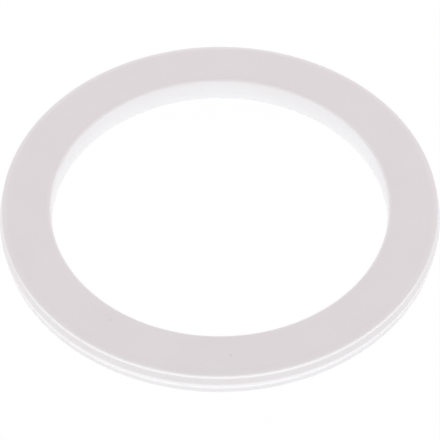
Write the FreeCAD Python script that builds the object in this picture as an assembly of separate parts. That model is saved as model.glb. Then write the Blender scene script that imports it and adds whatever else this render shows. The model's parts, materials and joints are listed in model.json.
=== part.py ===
import FreeCAD, Part
import math
import os

# A cam and groove coupling gasket, moulded as one ring of white rubber.
# The ring lies flat with its axis on Z, and the origin is the centre of its underside.
# Both faces fall away a little over their outer margin. The rim between the margins
# carries three rounded ribs, parted by two grooves, and the middle rib stands a little
# proud. The section mirrors itself about its mid plane, so the gasket goes into its
# recess either way up.

# The ring, in millimetres: the rim fits the coupler's recess, and the bore lies one
# face width inside it
outer_diameter = 79.4
face_width = 9.2
thickness = 5.5
bore_corner_radius = 0.6

# The outer margin of each face, in millimetres
margin_width = 1.9
margin_drop = 0.4
margin_bend_radius = 12.0
rim_corner_radius = 0.47

# The ribs and grooves round the rim, in millimetres, with the depth taken from the
# middle rib's crest
groove_spacing = 2.35
groove_mouth = 1.4
groove_depth = 0.4
groove_root_radius = 0.4
middle_rib_rise = 0.08
rib_crest_radius = 0.3

# The share of a straight side that the roundings at its two ends may use up together
ROUNDING_SHARE = 0.95

rim_radius = outer_diameter / 2
bore_radius = rim_radius - face_width


class Corner:
    """One corner of the ring's section, at a radius and a height over the mid plane."""

    def __init__(self, radius, height, rounding):
        self.radius = radius
        self.height = height
        self.rounding = rounding
        self.point = FreeCAD.Vector(radius, 0, thickness / 2 + height)

    def mirrored(self):
        """The same corner on the other side of the mid plane."""
        return Corner(self.radius, -self.height, self.rounding)


def upper_corners():
    """The corners over the mid plane, from the middle rib round to the top of the bore."""
    face_height = thickness / 2
    groove_height = groove_spacing / 2
    outer_rib_radius = rim_radius - middle_rib_rise
    return [
        Corner(rim_radius, groove_height - groove_mouth / 2, rib_crest_radius),
        Corner(rim_radius - groove_depth, groove_height, groove_root_radius),
        Corner(outer_rib_radius, groove_height + groove_mouth / 2, rib_crest_radius),
        Corner(outer_rib_radius, face_height - margin_drop, rim_corner_radius),
        Corner(rim_radius - margin_width, face_height, margin_bend_radius),
        Corner(bore_radius, face_height, bore_corner_radius),
    ]


def section_corners():
    """The corners of the ring's section, anticlockwise from the foot of the bore."""
    upper = upper_corners()
    lower = [corner.mirrored() for corner in reversed(upper)]
    return lower + upper


def half_angle(corner, before, after):
    """Half the angle between the two sides that meet at a corner."""
    return (before.point - corner.point).getAngle(after.point - corner.point) / 2


def neighbours(corners, index):
    """The corners before and after one corner of a closed outline."""
    return corners[index - 1], corners[(index + 1) % len(corners)]


def rounding_reaches(corners):
    """How far each corner's rounding runs along its sides, limited by the sides' lengths."""
    wanted = []
    for index, corner in enumerate(corners):
        before, after = neighbours(corners, index)
        wanted.append(corner.rounding / math.tan(half_angle(corner, before, after)))
    reaches = []
    for index, corner in enumerate(corners):
        reach = wanted[index]
        for other in (index - 1, (index + 1) % len(corners)):
            side = (corners[other].point - corner.point).Length
            room = ROUNDING_SHARE * side / (wanted[index] + wanted[other])
            reach = min(reach, wanted[index] * room)
        reaches.append(reach)
    return reaches


def corner_arc(corner, before, after, reach):
    """The arc that rounds a corner and is tangent to both of its sides."""
    to_before = (before.point - corner.point).normalize()
    to_after = (after.point - corner.point).normalize()
    inwards = (to_before + to_after).normalize()
    half = half_angle(corner, before, after)
    depth = reach / math.cos(half) - reach * math.tan(half)
    start = corner.point + to_before * reach
    end = corner.point + to_after * reach
    return Part.Arc(start, corner.point + inwards * depth, end)


def section_face():
    """The ring's section in the XZ plane, as straight sides joined by tangent arcs."""
    corners = section_corners()
    reaches = rounding_reaches(corners)
    arcs = []
    for index, corner in enumerate(corners):
        before, after = neighbours(corners, index)
        arcs.append(corner_arc(corner, before, after, reaches[index]))
    edges = []
    for index, arc in enumerate(arcs):
        following = arcs[(index + 1) % len(arcs)]
        edges.append(arc.toShape())
        edges.append(Part.LineSegment(arc.EndPoint, following.StartPoint).toShape())
    return Part.Face(Part.Wire(edges))


def gasket_ring():
    """The section turned once round the ring's axis."""
    axis_point = FreeCAD.Vector(0, 0, 0)
    axis_direction = FreeCAD.Vector(0, 0, 1)
    return section_face().revolve(axis_point, axis_direction, 360)


def main():
    ring = gasket_ring()
    os.makedirs("parts", exist_ok=True)
    ring.exportStep("parts/gasket_ring.step")
    print("gasket_ring:", len(ring.Solids), "solid, valid:", ring.isValid())
    print("volume:", round(ring.Volume, 1), "cubic mm")


main()
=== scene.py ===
import json
import math

import bmesh
import bpy
from mathutils import Matrix, Vector


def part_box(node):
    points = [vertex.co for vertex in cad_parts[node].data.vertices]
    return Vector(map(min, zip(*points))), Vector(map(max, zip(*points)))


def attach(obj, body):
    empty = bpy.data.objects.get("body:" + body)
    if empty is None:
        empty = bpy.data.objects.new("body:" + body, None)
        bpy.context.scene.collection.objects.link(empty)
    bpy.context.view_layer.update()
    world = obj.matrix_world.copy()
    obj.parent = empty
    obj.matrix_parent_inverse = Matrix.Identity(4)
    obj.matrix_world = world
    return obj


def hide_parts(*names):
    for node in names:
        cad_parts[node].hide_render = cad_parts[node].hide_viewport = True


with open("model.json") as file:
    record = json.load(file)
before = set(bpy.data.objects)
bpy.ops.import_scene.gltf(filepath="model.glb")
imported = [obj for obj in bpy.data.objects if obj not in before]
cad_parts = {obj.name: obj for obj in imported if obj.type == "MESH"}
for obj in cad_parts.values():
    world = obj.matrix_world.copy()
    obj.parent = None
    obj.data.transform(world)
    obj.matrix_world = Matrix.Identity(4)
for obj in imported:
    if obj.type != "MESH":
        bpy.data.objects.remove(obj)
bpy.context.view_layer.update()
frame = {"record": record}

MM = 0.001

# The ring's size comes from the frame: rim and thickness from the node, bore from its mount
LOW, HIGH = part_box("gasket_ring")
RIM_RADIUS = (HIGH.x - LOW.x) / 2
THICKNESS = HIGH.z - LOW.z
MOUNTS = {mount["name"]: mount for mount in frame["record"]["mounts"]}
BORE_RADIUS = MOUNTS["bore"]["dims"]["r_mm"] * MM

# The section's finer form, which departs from the solid by up to about a third of a
# millimetre: the margins where the faces fall away towards the rim, the ribs and grooves
# round it, the slight swell of the bore's wall, and the mould's roundings
MARGIN_WIDTH = 1.35 * MM
MARGIN_BEND_RADIUS = 1.64 * MM
BORE_CORNER_RADIUS = 0.7 * MM
BORE_SWELL = 0.45 * MM
BORE_SWELL_RADIUS = 12.0 * MM
MIDDLE_RIB_WIDTH = 0.67 * MM
MIDDLE_RIB_CREST_RADIUS = 0.3 * MM
GROOVE_SPACING = 2.59 * MM
GROOVE_DEPTH = 0.57 * MM
GROOVE_ROOT_RADIUS = 0.2 * MM
OUTER_RIB_SPACING = 4.6 * MM
OUTER_RIB_FALL = 0.2 * MM
OUTER_RIB_CREST_RADIUS = 0.45 * MM

# The share of a straight side that the roundings at its two ends may use up together
ROUNDING_SHARE = 0.95

# How finely the ring is divided: its roundings, its straight sides and its turn
TIGHT_SEGMENTS = 6
CREST_SEGMENTS = 8
BROAD_SEGMENTS = 12
STRAIGHT_STEP = 0.3 * MM
RING_STEPS = 240

# The photograph's view: a long lens, a little above 45 degrees, with the middle of the ring
# at this place in the picture
IMAGE_SIDE = 440
SENSOR_MM = 36.0
FOCAL_PIXELS = 3627.0
VIEW_DISTANCE = 0.655
VIEW_ELEVATION = math.radians(49.02)
VIEW_ROLL = math.radians(-0.24)
RING_CENTRE = (219.8, 213.35)
CLIP_RATIO = 100

# The studio: a soft overhead lamp set towards the back, light from all round that is
# strongest near the horizon and from behind, and a white table that glows a little
LAMP_PLACE = (0, 0.10, 0.35)
LAMP_SIZE = 0.5
LAMP_POWER = 0.22
LAMP_COLOUR = (1, 0.98, 0.99)
SURROUND = 0.68
HORIZON = 1.3
HORIZON_SHARPNESS = 6.0
BACK = 0.25
SURROUND_COLOUR = (1, 0.965, 0.978, 1)
TABLE_SIZE = 4.0
TABLE_COLOUR = (0.9, 0.9, 0.9, 1)
TABLE_GLOW = 0.72
TABLE_GLOW_COLOUR = (0.85, 1, 0.98, 1)

# The white that the camera sees: of the surround, and of the table, of which a share stays
# as it is lit and so keeps the shadow
WHITE = (1, 1, 1, 1)
SURROUND_WHITE = 1.0
TABLE_WHITE = 1.03
TABLE_SHADOW = 0.12

# The rubber: a warm white with faint clouds and grain, which colour and roughen it a little
RUBBER = (0.80, 0.775, 0.785, 1)
RUBBER_CLOUD = (0.785, 0.755, 0.765, 1)
RUBBER_ROUGHNESS = 0.6
CLOUD_SIZE = 9 * MM
CLOUD_DETAIL = 3.0
GRAIN_SIZE = 0.45 * MM
GRAIN_DETAIL = 2.0
WAVE_SIZE = 2.5 * MM
WAVE_DETAIL = 1.0
GRAIN_DEPTH = 0.006 * MM
WAVE_DEPTH = 0.012 * MM
NOISE_MIDDLE = 0.5
CLOUD_START = 0.35
CLOUD_RANGE = 0.3
PLAIN_TINT = 0.2
CLOUD_TINT = 0.6
GRAIN_TINT = 0.8
CLOUD_ROUGHNESS = 0.15
GRAIN_ROUGHNESS = 0.1

# The two specks on the upper face: where each lies, its radius, and how dark it is
SPECKS = [
    ((1.85 * MM, -35.05 * MM), 0.22 * MM, 0.3),
    ((-19.25 * MM, -26.95 * MM), 0.38 * MM, 0.12),
]
SPECK_COLOUR = (0.35, 0.31, 0.3, 1)
SPECK_SHARPNESS = 2.0


class Value:
    """A number that varies over a surface: the output of a node, with Python's arithmetic."""

    def __init__(self, shader, socket):
        self.shader = shader
        self.socket = socket

    def maths(self, operation, *values):
        """The result of a Math node."""
        settings = {"operation": operation}
        return self.shader.node("ShaderNodeMath", settings, dict(enumerate(values)))

    def __add__(self, other):
        return self.maths("ADD", self, other)

    def __radd__(self, other):
        return self.maths("ADD", other, self)

    def __sub__(self, other):
        return self.maths("SUBTRACT", self, other)

    def __rsub__(self, other):
        return self.maths("SUBTRACT", other, self)

    def __mul__(self, other):
        return self.maths("MULTIPLY", self, other)

    def __rmul__(self, other):
        return self.maths("MULTIPLY", other, self)

    def __truediv__(self, other):
        return self.maths("DIVIDE", self, other)

    def __pow__(self, other):
        return self.maths("POWER", self, other)

    def at_least(self, other):
        return self.maths("MAXIMUM", self, other)

    def at_most(self, other):
        return self.maths("MINIMUM", self, other)

    def clipped(self):
        """The value held between 0 and 1."""
        return self.at_least(0.0).at_most(1.0)


class Shader:
    """The nodes of one material or of the world."""

    def __init__(self, owner):
        owner.use_nodes = True
        self.tree = owner.node_tree
        self.tree.nodes.clear()

    def node(self, kind, settings=None, inputs=None, output=0):
        """Adds a node of any type: its settings first, then its sockets' values and links."""
        made = self.tree.nodes.new(kind)
        for name, value in (settings or {}).items():
            setattr(made, name, value)
        for name, value in (inputs or {}).items():
            if isinstance(value, Value):
                self.tree.links.new(value.socket, made.inputs[name])
            else:
                made.inputs[name].default_value = value
        return Value(self, made.outputs[output] if len(made.outputs) else None)

    def parts(self, vector):
        """The three numbers of a vector."""
        split = self.node("ShaderNodeSeparateXYZ", {}, {0: vector}).socket.node
        return [Value(self, socket) for socket in split.outputs]

    def mixed(self, share, first, second):
        """A colour between two others: a Mix node takes them at 6 and 7, and gives it at 2."""
        colours = {0: share, 6: first, 7: second}
        return self.node("ShaderNodeMix", {"data_type": "RGBA"}, colours, 2)

    def patches(self, place, size, detail):
        """A soft uneven pattern, with patches of about this size."""
        pattern = {"Vector": place, "Scale": 1 / size, "Detail": detail}
        return self.node("ShaderNodeTexNoise", {}, pattern)

    def raised(self, height, depth, below=None):
        """The surface's direction where a pattern raises it, over a finer one if there is one."""
        relief = {"Height": height, "Distance": depth}
        if below:
            relief["Normal"] = below
        return self.node("ShaderNodeBump", {}, relief, "Normal")

    def seen_straight(self):
        """1 for rays from the camera, off gloss and through glass, and 0 for the light itself."""
        rays = self.node("ShaderNodeLightPath").socket.node.outputs
        kinds = ("Is Camera Ray", "Is Glossy Ray", "Is Transmission Ray")
        camera, glossy, through = (Value(self, rays[kind]) for kind in kinds)
        return camera.at_least(glossy).at_least(through)


def placed(name, mesh_or_data):
    """A new object at the origin, in the scene."""
    made = bpy.data.objects.new(name, mesh_or_data)
    bpy.context.scene.collection.objects.link(made)
    return made


def mesh_from(name, bm):
    """A new object from a finished bmesh."""
    mesh = bpy.data.meshes.new(name)
    bm.to_mesh(mesh)
    bm.free()
    return placed(name, mesh)


def photo_camera():
    """The camera at the photograph's place, turned until the ring lies where it does there."""
    camera = placed("photo_camera", bpy.data.cameras.new("photo_camera"))
    lens = camera.data
    lens.sensor_width = SENSOR_MM
    lens.lens = FOCAL_PIXELS / IMAGE_SIDE * SENSOR_MM
    lens.clip_start = VIEW_DISTANCE / CLIP_RATIO
    lens.clip_end = VIEW_DISTANCE * CLIP_RATIO
    middle = Vector((0, 0, THICKNESS / 2))
    outwards = Vector((0, -math.cos(VIEW_ELEVATION), math.sin(VIEW_ELEVATION)))
    camera.location = middle + outwards * VIEW_DISTANCE
    straight = outwards.to_track_quat("Z", "Y").to_matrix()
    pixel = VIEW_DISTANCE / FOCAL_PIXELS
    right = (IMAGE_SIDE / 2 - RING_CENTRE[0]) * pixel
    up = (RING_CENTRE[1] - IMAGE_SIDE / 2) * pixel
    aim = middle + straight @ Vector((right, up, 0))
    turned = (camera.location - aim).to_track_quat("Z", "Y").to_matrix()
    camera.rotation_euler = (turned @ Matrix.Rotation(VIEW_ROLL, 3, "Z")).to_euler()
    bpy.context.scene.camera = camera


def overhead_lamp():
    """A broad round lamp over the ring, turned towards it."""
    lamp = placed("overhead_lamp", bpy.data.lights.new("overhead_lamp", "AREA"))
    lamp.data.shape = "DISK"
    lamp.data.size = LAMP_SIZE
    lamp.data.energy = LAMP_POWER
    lamp.data.color = LAMP_COLOUR
    lamp.location = LAMP_PLACE
    lamp.rotation_euler = Vector(LAMP_PLACE).to_track_quat("Z", "Y").to_euler()


def studio_surround():
    """Light from all round, strongest near the horizon and from behind, seen as plain white."""
    world = bpy.data.worlds.new("studio_surround")
    bpy.context.scene.world = world
    shader = Shader(world)
    direction = shader.node("ShaderNodeTexCoord", output="Generated")
    behind, height = shader.parts(direction)[1:]
    low = (1.0 - height.clipped()) ** HORIZON_SHARPNESS
    strength = SURROUND + HORIZON * low + BACK * behind.clipped()
    light = shader.node("ShaderNodeBackground", {}, {
        "Color": SURROUND_COLOUR,
        "Strength": strength,
    })
    white = shader.node("ShaderNodeBackground", {}, {
        "Color": WHITE,
        "Strength": SURROUND_WHITE,
    })
    surround = shader.node("ShaderNodeMixShader", {}, {
        0: shader.seen_straight(),
        1: light,
        2: white,
    })
    shader.node("ShaderNodeOutputWorld", {}, {"Surface": surround})


def white_table():
    """A plain white table that keeps a faint shadow of the ring."""
    bm = bmesh.new()
    bmesh.ops.create_grid(bm, x_segments=1, y_segments=1, size=TABLE_SIZE / 2)
    table = mesh_from("white_table", bm)
    material = bpy.data.materials.new("white_table")
    shader = Shader(material)
    plain = shader.node("ShaderNodeBsdfDiffuse", {}, {"Color": TABLE_COLOUR})
    glow = shader.node("ShaderNodeEmission", {}, {
        "Color": TABLE_GLOW_COLOUR,
        "Strength": TABLE_GLOW,
    })
    lighting = shader.node("ShaderNodeAddShader", {}, {0: plain, 1: glow})
    white = shader.node("ShaderNodeEmission", {}, {"Strength": TABLE_WHITE})
    seen = shader.node("ShaderNodeMixShader", {}, {0: TABLE_SHADOW, 1: white, 2: plain})
    surface = shader.node("ShaderNodeMixShader", {}, {
        0: shader.seen_straight(),
        1: lighting,
        2: seen,
    })
    shader.node("ShaderNodeOutputMaterial", {}, {"Surface": surface})
    table.data.materials.append(material)


class Corner:
    """One corner of the ring's section, at a radius and a height over the mid plane."""

    def __init__(self, radius, height, rounding, segments):
        self.radius = radius
        self.height = height
        self.rounding = rounding
        self.segments = segments
        self.place = Vector((radius, 0, THICKNESS / 2 + height))

    def mirrored(self):
        """The same corner on the other side of the mid plane."""
        return Corner(self.radius, -self.height, self.rounding, self.segments)


def upper_corners():
    """The corners over the mid plane, from the middle rib round to the top of the bore."""
    face_height = THICKNESS / 2
    root_radius = RIM_RADIUS - GROOVE_DEPTH
    outer_rib_radius = RIM_RADIUS - OUTER_RIB_FALL
    margin_radius = RIM_RADIUS - MARGIN_WIDTH
    return [
        Corner(RIM_RADIUS, MIDDLE_RIB_WIDTH / 2, MIDDLE_RIB_CREST_RADIUS, TIGHT_SEGMENTS),
        Corner(root_radius, GROOVE_SPACING / 2, GROOVE_ROOT_RADIUS, TIGHT_SEGMENTS),
        Corner(outer_rib_radius, OUTER_RIB_SPACING / 2, OUTER_RIB_CREST_RADIUS, CREST_SEGMENTS),
        Corner(margin_radius, face_height, MARGIN_BEND_RADIUS, BROAD_SEGMENTS),
        Corner(BORE_RADIUS, face_height, BORE_CORNER_RADIUS, BROAD_SEGMENTS),
    ]


def whole_section():
    """The section's corners: the lower half mirrors the upper one, and the bore swells."""
    upper = upper_corners()
    swell = Corner(BORE_RADIUS - BORE_SWELL, 0, BORE_SWELL_RADIUS, BROAD_SEGMENTS)
    return [corner.mirrored() for corner in reversed(upper)] + upper + [swell]


def rounding_reaches(corners):
    """How far each corner's rounding runs along its sides, limited by the sides' lengths."""
    count = len(corners)
    wanted = []
    for index, corner in enumerate(corners):
        before = corners[index - 1].place - corner.place
        after = corners[(index + 1) % count].place - corner.place
        wanted.append(corner.rounding / math.tan(before.angle(after) / 2))
    reaches = []
    for index, corner in enumerate(corners):
        reach = wanted[index]
        for other in (index - 1, (index + 1) % count):
            side = (corners[other].place - corner.place).length
            room = ROUNDING_SHARE * side / (wanted[index] + wanted[other])
            reach = min(reach, wanted[index] * room)
        reaches.append(reach)
    return reaches


def moulded_ring():
    """The ring as it comes from the mould: its rounded section, spun once round the axis."""
    corners = whole_section()
    reaches = rounding_reaches(corners)
    bm = bmesh.new()
    points = [bm.verts.new(corner.place) for corner in corners]
    bm.faces.new(points)
    for corner, reach, point in zip(corners, reaches, points):
        bmesh.ops.bevel(bm, geom=[point], offset=reach, offset_type="OFFSET",
                        segments=corner.segments, profile=0.5, affect="VERTICES", material=-1)
    bmesh.ops.delete(bm, geom=list(bm.faces), context="FACES_ONLY")
    for side in list(bm.edges):
        cuts = int(side.calc_length() / STRAIGHT_STEP)
        if cuts:
            bmesh.ops.subdivide_edges(bm, edges=[side], cuts=cuts)
    bmesh.ops.spin(bm, geom=list(bm.verts) + list(bm.edges), cent=(0, 0, 0), axis=(0, 0, 1),
                   angle=math.tau, steps=RING_STEPS, use_merge=True)
    bmesh.ops.recalc_face_normals(bm, faces=list(bm.faces))
    for face in bm.faces:
        face.smooth = True
    return mesh_from("moulded_ring", bm)


def white_rubber():
    """Matte white rubber: faint clouds, a fine grain from the mould, and two specks."""
    material = bpy.data.materials.new("white_rubber")
    shader = Shader(material)
    place = shader.node("ShaderNodeTexCoord", output="Object")
    clouds = shader.patches(place, CLOUD_SIZE, CLOUD_DETAIL)
    grain = shader.patches(place, GRAIN_SIZE, GRAIN_DETAIL)
    waves = shader.patches(place, WAVE_SIZE, WAVE_DETAIL)

    cloudy = ((clouds - CLOUD_START) / CLOUD_RANGE).clipped()
    tint = cloudy * CLOUD_TINT + (grain - NOISE_MIDDLE) * GRAIN_TINT + PLAIN_TINT
    colour = shader.mixed(tint, RUBBER, RUBBER_CLOUD)
    for where, radius, darkness in SPECKS:
        middle = (*where, THICKNESS)
        settings = {"operation": "DISTANCE"}
        away = shader.node("ShaderNodeVectorMath", settings, {0: place, 1: middle}, "Value")
        speck = ((1.0 - away / radius).clipped() * SPECK_SHARPNESS).at_most(1.0)
        colour = shader.mixed(speck * darkness, colour, SPECK_COLOUR)

    roughness = RUBBER_ROUGHNESS + (clouds - NOISE_MIDDLE) * CLOUD_ROUGHNESS
    roughness = roughness + (grain - NOISE_MIDDLE) * GRAIN_ROUGHNESS
    rubber = shader.node("ShaderNodeBsdfPrincipled", {}, {
        "Base Color": colour,
        "Roughness": roughness,
        "Normal": shader.raised(waves, WAVE_DEPTH, shader.raised(grain, GRAIN_DEPTH)),
    })
    shader.node("ShaderNodeOutputMaterial", {}, {"Surface": rubber})
    return material


photo_camera()
overhead_lamp()
studio_surround()
white_table()

ring = moulded_ring()
ring.data.materials.append(white_rubber())
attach(ring, "root")
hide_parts("gasket_ring")

bpy.context.scene.view_settings.view_transform = "Standard"
